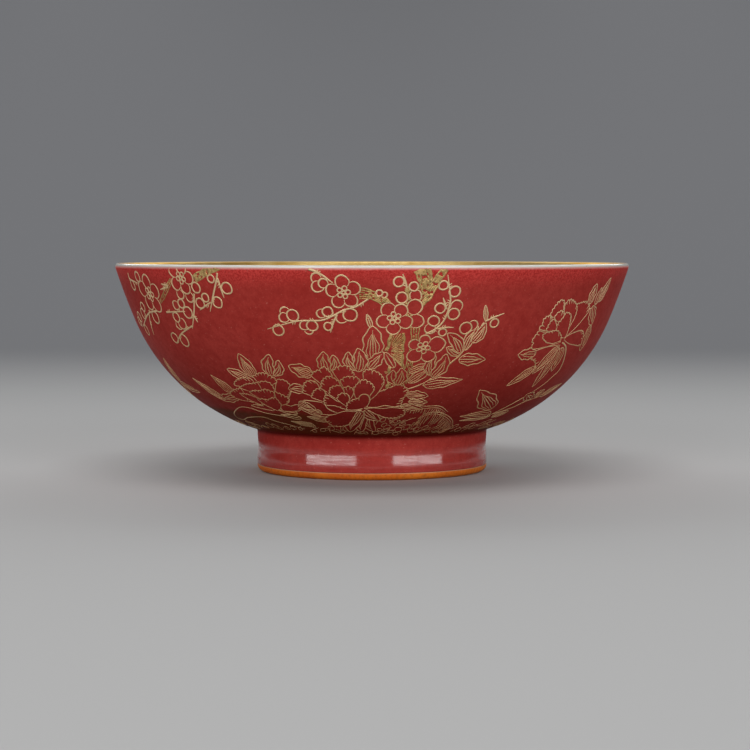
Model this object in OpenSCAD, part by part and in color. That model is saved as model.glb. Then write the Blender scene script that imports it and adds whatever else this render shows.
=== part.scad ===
// Porcelain bowl with a red outer coat, a white lip line and a gold lip band,
// standing on a foot ring that is luted under the belly.
// Millimetres, +Z up. The origin is the centre of the resting plane.

/* [Bowl] */
// Outside diameter of the mouth
mouth_d = 180; // [165:1:200]
// Height from the table to the top of the lip glaze
bowl_h = 73; // [66:0.5:82]
// Lean of the wall off upright at the lip, in degrees
lip_lean = 18; // [14:0.5:21]
// Radius of the gentle curve of the upper wall
upper_r = 240; // [180:5:320]
// Turn of the upper wall before the belly starts, in degrees
upper_turn = 4.5; // [2:0.5:7]
// Diameter of the level middle of the floor
floor_d = 42.4; // [30:0.2:56]

/* [Wall] */
// Thickness of the fired porcelain
body_t = 2.1; // [1.6:0.1:3]
// Thickness of each glaze coat
glaze_t = 0.3; // [0.2:0.05:0.5]

/* [Lip] */
// Angle from level, seen from the lip's centre, at which the red coat ends and the white starts
red_end = 18; // [-10:1:40]
// Depth of the gold band inside the mouth, under the lip
gold_band_h = 3; // [1.5:0.1:6]
// Thickness of the fired gold
gold_t = 0.1; // [0.05:0.01:0.2]
// Clearance of the gold from the white glaze under it
gold_gap = 0.1; // [0.02:0.02:0.2]
// Angle from level, seen from the lip's centre, at which the white ends and the gold starts
gold_start = 65; // [50:1:120]

/* [Foot] */
// Outside diameter of the foot
foot_d = 81; // [70:0.5:90]
// Height of the corner where the foot meets the belly
foot_h = 14.8; // [12:0.2:19]
// Width of the foot ring over its coats
foot_w = 5.6; // [5:0.1:8]
// Radius of the rounded edges of the foot
foot_edge_r = 2.2; // [1.5:0.1:2.4]
// Height of the brown dressing above the rounded edges
dressing_rise = 0.3; // [0.1:0.1:2]
// Radius of the red glaze that pools in the corner above the foot
pool_r = 1.2; // [0.5:0.1:2]

/* [Hidden] */
$fn = 128;
// Largest turn between two points of an arc, in degrees
arc_step = 2.5;

porcelain_white = "#ece8e0";
glaze_white = "#f6f5f0";
glaze_red = "#8f2a27";
dressing_brown = "#a5601c";
gold = "#c9a45c";

function polar(centre, radius, angle) = centre + radius * [cos(angle), sin(angle)];
// Points of an arc. A path that already has the first one starts at the second, with skip = 1.
function arc(centre, radius, from, to, skip = 0) =
    let (steps = ceil(abs(to - from) / arc_step))
    [for (i = [skip : steps]) polar(centre, radius, from + (to - from) * i / steps)];
// Points of one arc past several angles, so that pieces which end there share its points.
function chain(centre, radius, angles, skip = 0) =
    [for (i = [0 : len(angles) - 2])
        each arc(centre, radius, angles[i], angles[i + 1], i == 0 ? skip : 1)];
function reverse(points) = [for (i = [len(points) - 1 : -1 : 0]) points[i]];

// The finished outer skin is three arcs, each on the tangent of the last: the upper wall, the
// belly, which ends in the corner above the foot, and the floor, which ends level.
wall_t = body_t + 2 * glaze_t;
lip_r = wall_t / 2;
lip_c = [mouth_d / 2 - lip_r, bowl_h - lip_r];
lip_out = -lip_lean;
lip_in = 180 - lip_lean;
upper_c = polar(lip_c, lip_r - upper_r, lip_out);
join_angle = -(lip_lean + upper_turn);
join = polar(upper_c, upper_r, join_angle);
foot_r = foot_d / 2;
foot_in_r = foot_r - foot_w;
dressing_h = foot_edge_r + dressing_rise;
corner = [foot_r, foot_h];
chord = corner - join;
belly_r = -(chord * chord) / (2 * chord * [cos(join_angle), sin(join_angle)]);
belly_c = polar(join, -belly_r, join_angle);
// Angle of the belly at a distance from the axis, at a depth under the outer skin.
function belly_angle(r, depth) = -acos((r - belly_c.x) / (belly_r - depth));
corner_angle = belly_angle(foot_r, 0);
floor_r = (foot_r - floor_d / 2) / cos(corner_angle);
floor_c = polar(corner, -floor_r, corner_angle);
// Angle of the floor, in the same way.
function floor_angle(r, depth) = -acos((r - floor_c.x) / (floor_r - depth));
level = -90;

// Turn that covers a length along an arc of that radius.
function turn_of(length, radius) = length / radius * 180 / PI;
// Angle of the upper wall at which the gold band ends.
band_end = lip_out - turn_of(gold_band_h, upper_r - wall_t);
// Angles of the bare floor at the outer and inner edges of the foot ring's seat.
seat_out = floor_angle(foot_r - glaze_t, glaze_t);
seat_in = floor_angle(foot_in_r + glaze_t, glaze_t);

// Paths at a depth under the outer skin: down the upper wall, down the belly after it to an
// angle, and along the floor after that past more angles.
function upper_path(depth, angles) = chain(upper_c, upper_r - depth, angles);
function belly_path(depth, to) = arc(belly_c, belly_r - depth, join_angle, to, 1);
function floor_path(depth, angles) =
    chain(floor_c, floor_r - depth, concat([corner_angle], angles), 1);
function axis_point(depth) = [0, floor_c.y - floor_r + depth];
// All of them on end, from the lip past angles of the floor.
function wall_path(depth, angles) = concat(
    upper_path(depth, [lip_out, join_angle]),
    belly_path(depth, corner_angle),
    floor_path(depth, angles));
// Path round the lip, without the last point, which the wall's own path has.
function lip_path(radius, angles, skip = 0) =
    let (points = chain(lip_c, radius, angles, skip))
    [for (i = [0 : len(points) - 2]) points[i]];
// Path round the edge of the foot, inset all round, from a height outside to it inside.
function foot_path(inset, height) = concat(
    [[foot_r - inset, height]],
    arc([foot_r - foot_edge_r, foot_edge_r], foot_edge_r - inset, 0, level),
    arc([foot_in_r + foot_edge_r, foot_edge_r], foot_edge_r - inset, level, 2 * level),
    [[foot_in_r + inset, height]]);
// Path from the lip to the axis under the white glaze.
lining = concat(wall_path(wall_t - glaze_t, [level]), [axis_point(wall_t - glaze_t)]);

module turned(section) {
    rotate_extrude() polygon(section);
}

// Thrown porcelain bowl: the wall, the floor and the rounded lip.
module porcelain_body() {
    color(porcelain_white) turned(concat(
        wall_path(glaze_t, [seat_out, seat_in, level]),
        [axis_point(glaze_t)],
        reverse(lining),
        reverse(lip_path(body_t / 2, [lip_out, red_end, lip_in], 1))));
}

// Porcelain ring with a rounded edge, cut to the belly's curve and luted to it.
module foot_ring() {
    color(porcelain_white) turned(concat(
        arc(floor_c, floor_r - glaze_t, seat_in, seat_out),
        foot_path(glaze_t, dressing_h)));
}

// White glaze that lines the bowl and wraps over the lip, where it shows as a line.
module white_glaze() {
    color(glaze_white) turned(concat(
        lip_path(lip_r, [red_end, gold_start, lip_in]),
        upper_path(wall_t, [lip_out, band_end, join_angle]),
        belly_path(wall_t, corner_angle),
        floor_path(wall_t, [level]),
        [axis_point(wall_t)],
        reverse(lining),
        reverse(lip_path(body_t / 2, [red_end, lip_in]))));
}

// Red glaze over the outside, from the white line down the belly and the foot. It has
// run into the corner between them, where its surface is an arc against both.
module red_glaze() {
    pool_angle = belly_angle(foot_r + pool_r, -pool_r);
    pool_c = polar(belly_c, belly_r + pool_r, pool_angle);
    color(glaze_red) turned(concat(
        lip_path(lip_r, [red_end, lip_out]),
        upper_path(0, [lip_out, join_angle]),
        belly_path(0, pool_angle),
        arc(pool_c, pool_r, pool_angle + 180, 180, 1),
        [[foot_r, dressing_h], [foot_r - glaze_t, dressing_h]],
        reverse(wall_path(glaze_t, [seat_out])),
        reverse(lip_path(body_t / 2, [red_end, lip_out]))));
}

// White glaze in the hollow under the bowl and on the inside of the foot ring.
module base_glaze() {
    color(glaze_white) turned(concat(
        [[foot_in_r, dressing_h]],
        arc(floor_c, floor_r, floor_angle(foot_in_r, 0), level),
        [axis_point(0), axis_point(glaze_t)],
        arc(floor_c, floor_r - glaze_t, level, seat_in),
        [[foot_in_r + glaze_t, dressing_h]]));
}

// Brown dressing on the rounded edge that the glazes leave bare.
module foot_dressing() {
    color(dressing_brown) turned(concat(
        foot_path(0, dressing_h),
        reverse(foot_path(glaze_t, dressing_h))));
}

// Gold over the crest of the lip and down the inside of the mouth.
module gold_lip_band() {
    band_t = gold_gap + gold_t;
    inside_r = upper_r - wall_t;
    color(gold) turned(concat(
        arc(lip_c, lip_r + band_t, gold_start, lip_in),
        arc(upper_c, inside_r - band_t, lip_out, band_end, 1),
        arc(upper_c, inside_r - gold_gap, band_end, lip_out),
        arc(lip_c, lip_r + gold_gap, lip_in, gold_start, 1)));
}

porcelain_body();
foot_ring();
white_glaze();
red_glaze();
base_glaze();
foot_dressing();
gold_lip_band();
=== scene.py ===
import math
import random

import bpy
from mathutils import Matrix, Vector


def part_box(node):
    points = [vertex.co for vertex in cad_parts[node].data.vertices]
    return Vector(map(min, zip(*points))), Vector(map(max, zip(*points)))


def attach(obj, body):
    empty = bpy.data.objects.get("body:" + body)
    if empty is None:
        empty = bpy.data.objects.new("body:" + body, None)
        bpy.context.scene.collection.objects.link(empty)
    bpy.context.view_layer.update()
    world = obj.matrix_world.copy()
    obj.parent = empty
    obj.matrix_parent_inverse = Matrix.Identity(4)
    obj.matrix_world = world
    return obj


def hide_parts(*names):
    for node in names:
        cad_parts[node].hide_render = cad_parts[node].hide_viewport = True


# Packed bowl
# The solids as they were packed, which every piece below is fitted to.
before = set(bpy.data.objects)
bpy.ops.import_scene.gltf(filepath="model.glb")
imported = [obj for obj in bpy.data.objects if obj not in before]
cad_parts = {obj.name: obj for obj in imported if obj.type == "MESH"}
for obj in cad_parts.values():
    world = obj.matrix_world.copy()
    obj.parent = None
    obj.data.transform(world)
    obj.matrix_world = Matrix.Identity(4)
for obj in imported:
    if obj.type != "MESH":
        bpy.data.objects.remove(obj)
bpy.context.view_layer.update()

# Porcelain body
# The thrown bowl of fired white porcelain. All of it lies under the glazes and over the
# foot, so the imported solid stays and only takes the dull, speckled look of bare porcelain.


class Shade:
    """A socket in a material. Sums written with it add the nodes that work them out."""

    def __init__(self, tree, socket):
        self.tree = tree
        self.socket = socket

    def node(self, kind, settings=None, inputs=None, output=0):
        """Adds a node, applies its settings, fills its sockets and gives one of its outputs."""
        made = self.tree.nodes.new(kind)
        for name, value in (settings or {}).items():
            setattr(made, name, value)
        for name, value in (inputs or {}).items():
            if isinstance(value, Shade):
                self.tree.links.new(made.inputs[name], value.socket)
            else:
                made.inputs[name].default_value = value
        return Shade(self.tree, made.outputs[output])

    def maths(self, operation, *values):
        return self.node("ShaderNodeMath", {"operation": operation}, dict(enumerate(values)))

    def __add__(self, other):
        return self.maths("ADD", self, other)

    __radd__ = __add__

    def __sub__(self, other):
        return self.maths("SUBTRACT", self, other)

    def __rsub__(self, other):
        return self.maths("SUBTRACT", other, self)

    def __mul__(self, other):
        return self.maths("MULTIPLY", self, other)

    __rmul__ = __mul__

    def noise(self, scale, detail=2.0, roughness=0.5):
        """Soft cloudy noise at this place, from 0 to 1."""
        return self.node(
            "ShaderNodeTexNoise",
            inputs={"Vector": self, "Scale": scale, "Detail": detail, "Roughness": roughness},
        )

    def ease(self, start, end):
        """0 up to one value, 1 from another on, and a soft step between them."""
        return self.node(
            "ShaderNodeMapRange",
            {"interpolation_type": "SMOOTHSTEP"},
            {"Value": self, "From Min": start, "From Max": end},
        )

    def blend(self, first, second):
        """The first colour where this is 0, and the second where it is 1."""
        return self.node("ShaderNodeMix", {"data_type": "RGBA"}, {0: self, 6: first, 7: second}, 2)

    def bump(self, height):
        """The surface's normal where this pattern stands on it, in metres at its highest."""
        return self.node("ShaderNodeBump", inputs={"Height": self, "Distance": height})

    def feed(self, shader, socket):
        self.tree.links.new(shader.inputs[socket], self.socket)


def finish_of(name):
    """A new material, its shader, and the place on the piece that its patterns read."""
    finish = bpy.data.materials.new(name)
    finish.use_nodes = True
    tree = finish.node_tree
    place = tree.nodes.new("ShaderNodeTexCoord").outputs["Object"]
    return finish, tree.nodes["Principled BSDF"], Shade(tree, place)


def colour(red, green, blue):
    """A colour as it is seen, out of 255, as the light it stands for."""
    return tuple(((c / 255 + 0.055) / 1.055) ** 2.4 for c in (red, green, blue)) + (1.0,)


mm = 0.001
bare_porcelain, shader, place = finish_of("bare_porcelain")
grain = place.noise(1500.0, 3.0)
place.noise(120.0).blend(colour(226, 221, 211), colour(238, 234, 226)).feed(shader, "Base Color")
(0.62 + 0.2 * grain).feed(shader, "Roughness")
grain.bump(0.03 * mm).feed(shader, "Normal")


def put_on(node, finish):
    """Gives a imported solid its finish."""
    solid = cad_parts[node].data
    solid.materials.clear()
    solid.materials.append(finish)


put_on("porcelain_body", bare_porcelain)

# Foot ring
# A thrown ring of the same porcelain, luted under the belly while both were leather-hard.
# Glaze and dressing cover it, so its solid stays too.
put_on("foot_ring", bare_porcelain)

# White glaze
# Clear white glaze that lines the bowl and wraps over the lip, where it stays bare as a narrow
# line. It was poured in and fired on, smooth and glossy, and it gathered on the outer corner of
# the lip, which is squarer for it.
mouth_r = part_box("white_glaze")[1].x / mm
bowl_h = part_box("white_glaze")[1].z / mm
foot_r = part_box("foot_dressing")[1].x / mm
lip_lean = 18
upper_r = 240
upper_turn = 4.5
floor_d = 42.4
body_t = 2.1
glaze_t = 0.3
red_end = 24
lip_square = 4.5
foot_h = 14.8
upper_step = 0.25
lip_step = 4
lip_under_step = 6


def polar(centre, radius, angle):
    turn = math.radians(angle)
    return centre[0] + radius * math.cos(turn), centre[1] + radius * math.sin(turn)


wall_t = body_t + 2 * glaze_t
lip_r = wall_t / 2
lip_c = (mouth_r - lip_r, bowl_h - lip_r)
lip_out = -lip_lean
lip_in = 180 - lip_lean
upper_c = polar(lip_c, lip_r - upper_r, lip_out)
join_angle = lip_out - upper_turn
join = polar(upper_c, upper_r, join_angle)
chord = Vector((foot_r, foot_h)) - Vector(join)
belly_r = -chord.length_squared / (2 * chord.dot(Vector(polar((0, 0), 1, join_angle))))
belly_c = polar(join, -belly_r, join_angle)


def belly_angle(radius, depth):
    """Angle of the belly at a distance from the axis, at a depth under the outer skin."""
    return -math.degrees(math.acos((radius - belly_c[0]) / (belly_r - depth)))


corner_angle = belly_angle(foot_r, 0)
floor_r = (foot_r - floor_d / 2) / math.cos(math.radians(corner_angle))
floor_c = polar((foot_r, foot_h), -floor_r, corner_angle)
level = -90


def floor_angle(radius, depth):
    """Angle of the floor, in the same way."""
    return -math.degrees(math.acos((radius - floor_c[0]) / (floor_r - depth)))


def arc(centre, radius, start, end, step=1.0):
    """Points of an arc, no more than a step of so many degrees apart."""
    count = math.ceil(abs(end - start) / step)
    return [polar(centre, radius, start + (end - start) * i / count) for i in range(count + 1)]


def lip_point(proud, angle):
    """A point on the lip, whose outer corner is squarer than the round of its inside."""
    reach = lip_r
    if 0 < angle < 90:
        turn = math.radians(angle)
        reach /= (math.cos(turn) ** lip_square + math.sin(turn) ** lip_square) ** (1 / lip_square)
    return polar(lip_c, reach + proud, angle)


def lip_arc(proud, start, end):
    """Points round the lip, from one angle to another."""
    count = math.ceil(abs(end - start) / lip_step)
    return [lip_point(proud, start + (end - start) * i / count) for i in range(count + 1)]


def upper_arc(depth, start, end):
    """Points of the upper wall, at a depth under the outer skin."""
    return arc(upper_c, upper_r - depth, start, end, upper_step)


def inside(depth):
    """The way down the inside of the bowl from the lip to the axis."""
    return (
        upper_arc(depth, lip_out, join_angle)
        + arc(belly_c, belly_r - depth, join_angle, corner_angle)[1:]
        + arc(floor_c, floor_r - depth, corner_angle, level)[1:]
        + [(0, floor_c[1] - floor_r + depth)]
    )


around_steps = 256
weld_gap = 0.001
crease = math.radians(35)


def turned(name, section):
    """A closed piece: a ring of points is moved onto the section and spun about the axis."""
    bpy.ops.object.select_all(action="DESELECT")
    bpy.ops.mesh.primitive_circle_add(vertices=len(section))
    piece = bpy.context.object
    piece.name = name
    piece.data.name = name
    for corner, (radius, height) in zip(piece.data.vertices, section):
        corner.co = (radius * mm, 0, height * mm)
    bpy.ops.object.mode_set(mode="EDIT")
    bpy.ops.mesh.select_all(action="SELECT")
    bpy.ops.mesh.spin(steps=around_steps, angle=math.tau, center=(0, 0, 0), axis=(0, 0, 1))
    bpy.ops.mesh.select_all(action="SELECT")
    bpy.ops.mesh.remove_doubles(threshold=weld_gap * mm)
    bpy.ops.mesh.delete_loose()
    bpy.ops.mesh.select_all(action="SELECT")
    bpy.ops.mesh.normals_make_consistent(inside=False)
    bpy.ops.object.mode_set(mode="OBJECT")
    bpy.ops.object.shade_smooth_by_angle(angle=crease)
    return piece


def dress(piece, finish, slot, *nodes):
    """Gives a piece its finish and its place on the bowl."""
    piece.data.materials.append(finish)
    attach(piece, "root")
    if nodes:
        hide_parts(*nodes)


white_glaze = turned(
    "white_glaze_coat",
    lip_arc(0, red_end, lip_in)[:-1]
    + inside(wall_t)
    + inside(wall_t - glaze_t)[::-1]
    + arc(lip_c, body_t / 2, lip_in, red_end, lip_under_step)[1:],
)

white_finish, shader, place = finish_of("white_glaze")
cloud = place.noise(35.0, 3.0)
pits = place.noise(900.0, 2.0).ease(0.7, 0.78)
tint = cloud.blend(colour(226, 223, 213), colour(238, 236, 229))
pits.blend(tint, colour(196, 188, 172)).feed(shader, "Base Color")
(0.12 + 0.1 * cloud + 0.2 * pits).feed(shader, "Roughness")
(place.noise(260.0, 2.0) - 0.3 * pits).bump(0.04 * mm).feed(shader, "Normal")
shader.inputs["IOR"].default_value = 1.5
dress(white_glaze, white_finish, "white_glaze", "white_glaze")

# Red glaze
# Copper-red glaze over the outside, from the white line down the belly and the foot. It ran
# while molten, so it is thin under the lip, pools in the corner over the foot, and hangs in a
# shallow roll near the foot's edge. The kiln left it mottled, with an orange-peel skin.
dressing_h = 2.5
pool_r = 1.2
waist_r = foot_r - 0.25
waist_h = 9.2
roll_r = foot_r + 0.1
roll_h = 4.2
edge_round = 0.25
pool_step = 6
waist_steps = 6
roll_steps = 14
edge_steps = 4
edge_step = 30


def eased(start, end, count):
    """Points from one to another that leave and arrive upright, as a shallow S."""
    steps = [i / count for i in range(1, count + 1)]
    return [
        (start[0] + (end[0] - start[0]) * t * t * (3 - 2 * t), start[1] + (end[1] - start[1]) * t)
        for t in steps
    ]


pool_angle = belly_angle(foot_r + pool_r, -pool_r)
pool_c = polar(belly_c, belly_r + pool_r, pool_angle)
pool_foot = (foot_r, pool_c[1])
waist = (waist_r, waist_h)
roll = (roll_r, roll_h)
edge_h = dressing_h + edge_round
seat_out = floor_angle(foot_r - glaze_t, glaze_t)
red_glaze = turned(
    "red_glaze_coat",
    lip_arc(0, red_end, lip_out)[:-1]
    + upper_arc(0, lip_out, join_angle)
    + arc(belly_c, belly_r, join_angle, pool_angle)[1:]
    + arc(pool_c, pool_r, pool_angle + 180, 180, pool_step)[1:]
    + eased(pool_foot, waist, waist_steps)
    + eased(waist, roll, roll_steps)
    + eased(roll, (foot_r, edge_h), edge_steps)
    + arc((foot_r - edge_round, edge_h), edge_round, 0, level, edge_step)[1:]
    + [(foot_r - glaze_t, dressing_h)]
    + arc(floor_c, floor_r - glaze_t, seat_out, corner_angle)
    + arc(belly_c, belly_r - glaze_t, corner_angle, join_angle)[1:]
    + upper_arc(glaze_t, join_angle, lip_out)[1:]
    + arc(lip_c, body_t / 2, lip_out, red_end, lip_step)[1:],
)


def measured(place, axis):
    """Millimetres from the bowl's centre to a place, along an axis."""
    return place.node("ShaderNodeSeparateXYZ", inputs={0: place}, output=axis) * (1 / mm)


# Heights between which the glaze turns thin under the lip and vivid red below it, with a painted
# sheen; turns darker where it pools over the foot, with painted shade in that corner; is darkened
# on the belly by painted shade; and takes a brown wash on the painted ground, which rises to a bank
# at the left.
thin_from = bowl_h - 1.5
thin_to = bowl_h - 0.45
sheen_from = bowl_h - 5.5
sheen_to = bowl_h + 3
belly_shade_from = 52
belly_shade_to = foot_h + 3
pool_top = foot_h + 4
ground_from = foot_h + 5
ground_to = foot_h + 3
bank_right = 0.77
bank_away = 0.64
bank_from = 38
bank_to = 54
bank_rise = 6.5

red_finish, shader, place = finish_of("red_glaze")
across = measured(place, "X")
away = measured(place, "Y")
height = measured(place, "Z")
cloud = place.noise(30.0, 4.0, 0.6)
mottle = place.noise(420.0, 3.0, 0.6)
speckle = place.noise(1700.0, 3.0, 0.65)
flecks_and_glints = place.noise(1300.0, 2.0).ease(0.66, 0.76)
thrown = place.node("ShaderNodeVectorMath", {"operation": "MULTIPLY"}, {0: place, 1: (1, 1, 8)})
throwing = thrown.noise(140.0, 3.0, 0.6)
thin = (height + 0.4 * mottle).ease(thin_from, thin_to)
sheen_under_lip = (height + 6 * cloud).ease(sheen_from, sheen_to)
on_foot = height.ease(foot_h + 2, foot_h - 1)
on_roll = height.ease(waist_h + 2, waist_h - 0.5)
pooled_and_shaded = height.ease(foot_h - 1.5, foot_h) * height.ease(pool_top, foot_h)
deep = height.ease(belly_shade_from, belly_shade_to) * height.ease(foot_h - 1, foot_h + 1)
bank = place.maths("ABSOLUTE", bank_right * across + bank_away * away).ease(bank_from, bank_to)
ground = (height - bank_rise * bank + 3 * cloud).ease(ground_from, ground_to)
ground = ground * height.ease(foot_h + 0.4, foot_h + 1.2)
tint = cloud.ease(0.3, 0.7).blend(colour(182, 58, 51), colour(196, 71, 63))
tint = (0.36 * mottle.ease(0.35, 0.7)).blend(tint, colour(152, 38, 34))
tint = (0.22 * speckle.ease(0.35, 0.65)).blend(tint, colour(152, 38, 34))
# A vivid red under the lip, where the glaze is thin, made brighter as a painted sheen.
vivid_sheen_red = speckle.ease(0.35, 0.65).blend(colour(240, 84, 78), colour(198, 50, 48))
tint = (0.85 * sheen_under_lip).blend(tint, vivid_sheen_red)
tint = (0.85 * thin).blend(tint, colour(240, 196, 188))
# Painted shade: the lower belly, which faces down, is darkened towards the foot.
tint = (0.45 * deep).blend(tint, colour(120, 26, 16))
# Darker where the glaze pools in the corner over the foot, and painted shade in that corner under
# the belly.
tint = (0.7 * pooled_and_shaded).blend(tint, colour(96, 20, 14))
tint = (0.8 * ground * mottle.ease(0.1, 0.5)).blend(tint, colour(104, 54, 25))
# Pale flecks of bubbles and pits in the glaze, painted partly as glints of light.
(0.4 * flecks_and_glints).blend(tint, colour(218, 132, 118)).feed(shader, "Base Color")
(0.44 + 0.12 * mottle - 0.26 * on_roll).feed(shader, "Roughness")
(on_roll * (0.5 + 0.5 * throwing.ease(0.36, 0.6))).feed(shader, "Coat Weight")
skin = place.noise(300.0, 2.0) + 0.35 * place.noise(1100.0, 2.0) + 1.8 * on_foot * throwing
skin.bump(0.06 * mm).feed(shader, "Normal")
shader.inputs["Specular IOR Level"].default_value = 0.02
shader.inputs["Coat Roughness"].default_value = 0.11
shader.inputs["Coat IOR"].default_value = 1.7
dress(red_glaze, red_finish, "red_glaze", "red_glaze")

# Base glaze
# The same white glaze, dabbed into the hollow under the bowl and down the inside of the foot. It
# ran a little into the corner between them, and it stops where the foot's dressing starts.
foot_w = 5.6
foot_in_r = foot_r - foot_w
seat_in = floor_angle(foot_in_r + glaze_t, glaze_t)
wash_r = 1.0
wash_step = 8
base_angle = floor_angle(foot_in_r - wash_r, -wash_r)
wash_c = polar(floor_c, floor_r + wash_r, base_angle)
base_glaze = turned(
    "base_glaze_coat",
    [(foot_in_r, dressing_h)]
    + arc(wash_c, wash_r, 0, base_angle + 180, wash_step)
    + arc(floor_c, floor_r, base_angle, level)[1:]
    + [(0, floor_c[1] - floor_r), (0, floor_c[1] - floor_r + glaze_t)]
    + arc(floor_c, floor_r - glaze_t, level, seat_in)
    + [(foot_in_r + glaze_t, dressing_h)],
)
dress(base_glaze, white_finish, "white_glaze", "base_glaze")

# Foot dressing
# Iron-brown dressing painted on the rounded edge that the glazes leave bare, and fired to a
# dull orange crust. It is worn pale where it rubs on a table, and where the glazes end.
foot_edge_r = 2.2
foot_step = 5
bare_from = dressing_h - 0.15
bare_to = dressing_h + 0.05
worn_from = 0.3
worn_to = 0.1


def foot_edge(inset):
    """The way round the foot's edge from the outside to the inside."""
    radius = foot_edge_r - inset
    return (
        [(foot_r - inset, dressing_h)]
        + arc((foot_r - foot_edge_r, foot_edge_r), radius, 0, level, foot_step)
        + arc((foot_in_r + foot_edge_r, foot_edge_r), radius, level, 2 * level, foot_step)
        + [(foot_in_r + inset, dressing_h)]
    )


foot_dressing = turned("foot_dressing_crust", foot_edge(0) + foot_edge(glaze_t)[::-1])

dressing_finish, shader, place = finish_of("foot_dressing")
height = measured(place, "Z")
cloud = place.noise(70.0, 4.0, 0.65)
grain = place.noise(900.0, 3.0, 0.6)
bare_line = (height + 0.3 * cloud).ease(bare_from, bare_to)
worn = (height + 0.2 * grain).ease(worn_from, worn_to)
tint = cloud.ease(0.3, 0.7).blend(colour(220, 102, 12), colour(242, 130, 28))
tint = (0.5 * grain.ease(0.45, 0.75)).blend(tint, colour(164, 72, 12))
tint = (0.6 * worn).blend(tint, colour(196, 156, 112))
(0.85 * bare_line).blend(tint, colour(216, 164, 128)).feed(shader, "Base Color")
(0.5 + 0.25 * grain).feed(shader, "Roughness")
grain.bump(0.06 * mm).feed(shader, "Normal")
dress(foot_dressing, dressing_finish, "foot_dressing", "foot_dressing")

# Gold lip band
# A band of fired gold over the top of the lip and down the inside of the mouth, brushed on while
# the bowl turned. Along the top it is painted pale as a highlight, and its outer edge is painted
# dark as shade.
gold_start = 60
gold_feather = 3
gold_band_h = 3
gold_t = 0.1
band_end = lip_out - math.degrees(gold_band_h / (upper_r - wall_t))
band_sunk = 0.02
gold_band = turned(
    "gold_lip_band_ring",
    lip_arc(gold_t / 2, gold_start + gold_feather, lip_in)[:-1]
    + upper_arc(wall_t + gold_t / 2, lip_out, band_end)
    + upper_arc(wall_t - band_sunk, band_end, lip_out)
    + lip_arc(-band_sunk, lip_in, gold_start)[1:],
)


def gold(name, pale, deep):
    """Fired gold with a fine brushed grain, its tint cloudy from pale to deep, still to feed."""
    finish, shader, place = finish_of(name)
    cloud = place.noise(90.0, 3.0, 0.6)
    grain = place.noise(1600.0, 3.0, 0.6)
    tint = cloud.ease(0.3, 0.7).blend(pale, deep)
    tint = (0.4 * grain.ease(0.4, 0.8)).blend(tint, deep)
    (0.34 + 0.2 * grain).feed(shader, "Roughness")
    grain.bump(0.02 * mm).feed(shader, "Normal")
    return finish, shader, place, tint, grain


highlight_from = bowl_h - 0.35
highlight_to = bowl_h + 0.1
edge_shade_from = (lip_c[0] - 0.4) ** 2
edge_shade_to = (lip_c[0] + 0.15) ** 2
band_finish, shader, place, tint, grain = gold(
    "gold_band", colour(246, 214, 140), colour(214, 172, 92)
)
across = measured(place, "X")
away = measured(place, "Y")
# A painted highlight: the gold along the top of the lip is paler and less metallic, where it catches
# the light from above.
lip_top_highlight = (measured(place, "Z") + 0.2 * grain).ease(highlight_from, highlight_to)
tint = (0.5 * lip_top_highlight).blend(tint, colour(240, 220, 186))
((0.95 - 0.15 * grain) * (1 - 0.3 * lip_top_highlight)).feed(shader, "Metallic")
shader.inputs["Specular Tint"].default_value = colour(150, 112, 60)
# Painted shade: the band's outer edge is darkened to brown.
edge_shade = (across * across + away * away).ease(edge_shade_from, edge_shade_to)
(0.75 * edge_shade).blend(tint, colour(84, 56, 20)).feed(shader, "Base Color")
dress(gold_band, band_finish, "gold", "gold_lip_band")

# Gold painting
# Plum boughs that hang from the lip over peonies among rocks, drawn on the fired red glaze with a
# fine brush in gold, and fired again. Each line stands a hair proud and thins at its ends, the old
# wood is a darker gold, and the whole is repeated behind.
upper_length = math.radians(upper_turn) * upper_r
line_proud = 0.07
line_sunk = 0.03
line_step = 0.45
line_wide = 0.64
random.seed(12)


def wall(down):
    """Radius and height of the red glaze so far down from the lip, and the angle it faces."""
    if down < 0:
        angle = lip_out - math.degrees(down / lip_r)
        return lip_point(0, angle), angle
    if down < upper_length:
        angle = lip_out - math.degrees(down / upper_r)
        return polar(upper_c, upper_r, angle), angle
    angle = join_angle - math.degrees((down - upper_length) / belly_r)
    return polar(belly_c, belly_r, angle), angle


def on_wall(around, down):
    """A spot on the wall as a point in the frame, and the way out of the glaze there.

    The spot is given in degrees round from the front and millimetres down from the lip.
    """
    (radius, height), angle = wall(down)
    turn = math.radians(around)
    across = Vector((math.sin(turn), -math.cos(turn), 0))
    tilt = math.radians(angle)
    point = (across * radius + Vector((0, 0, height))) * mm
    return point, across * math.cos(tilt) + Vector((0, 0, math.sin(tilt)))


def apart(first, second):
    """Millimetres from one spot to another."""
    return math.hypot(
        math.radians(second[0] - first[0]) * wall(first[1])[0][0], second[1] - first[1]
    )


def rounded(spots, closed=False, step=line_step):
    """A smooth route through the spots, with a point about every step."""
    count = len(spots)
    route = []
    for i in range(count if closed else count - 1):
        before = spots[i - 1] if closed or i else spots[0]
        start = spots[i]
        end = spots[(i + 1) % count]
        after = spots[(i + 2) % count] if closed or i + 2 < count else end
        steps = max(2, round(apart(start, end) / step))
        for k in range(steps):
            t = k / steps
            spot = []
            for a, b, c, d in zip(before, start, end, after):
                bend = 2 * a - 5 * b + 4 * c - d + t * (3 * (b - c) + d - a)
                spot.append(b + 0.5 * t * (c - a + t * bend))
            route.append(tuple(spot))
    return route if closed else route + [spots[-1]]


covers = []
strokes = {}


def cover(route):
    """Keeps what is drawn later out of this outline."""
    low = [min(spot[k] for spot in route) for k in (0, 1)]
    high = [max(spot[k] for spot in route) for k in (0, 1)]
    covers.append((low, high, route))


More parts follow.
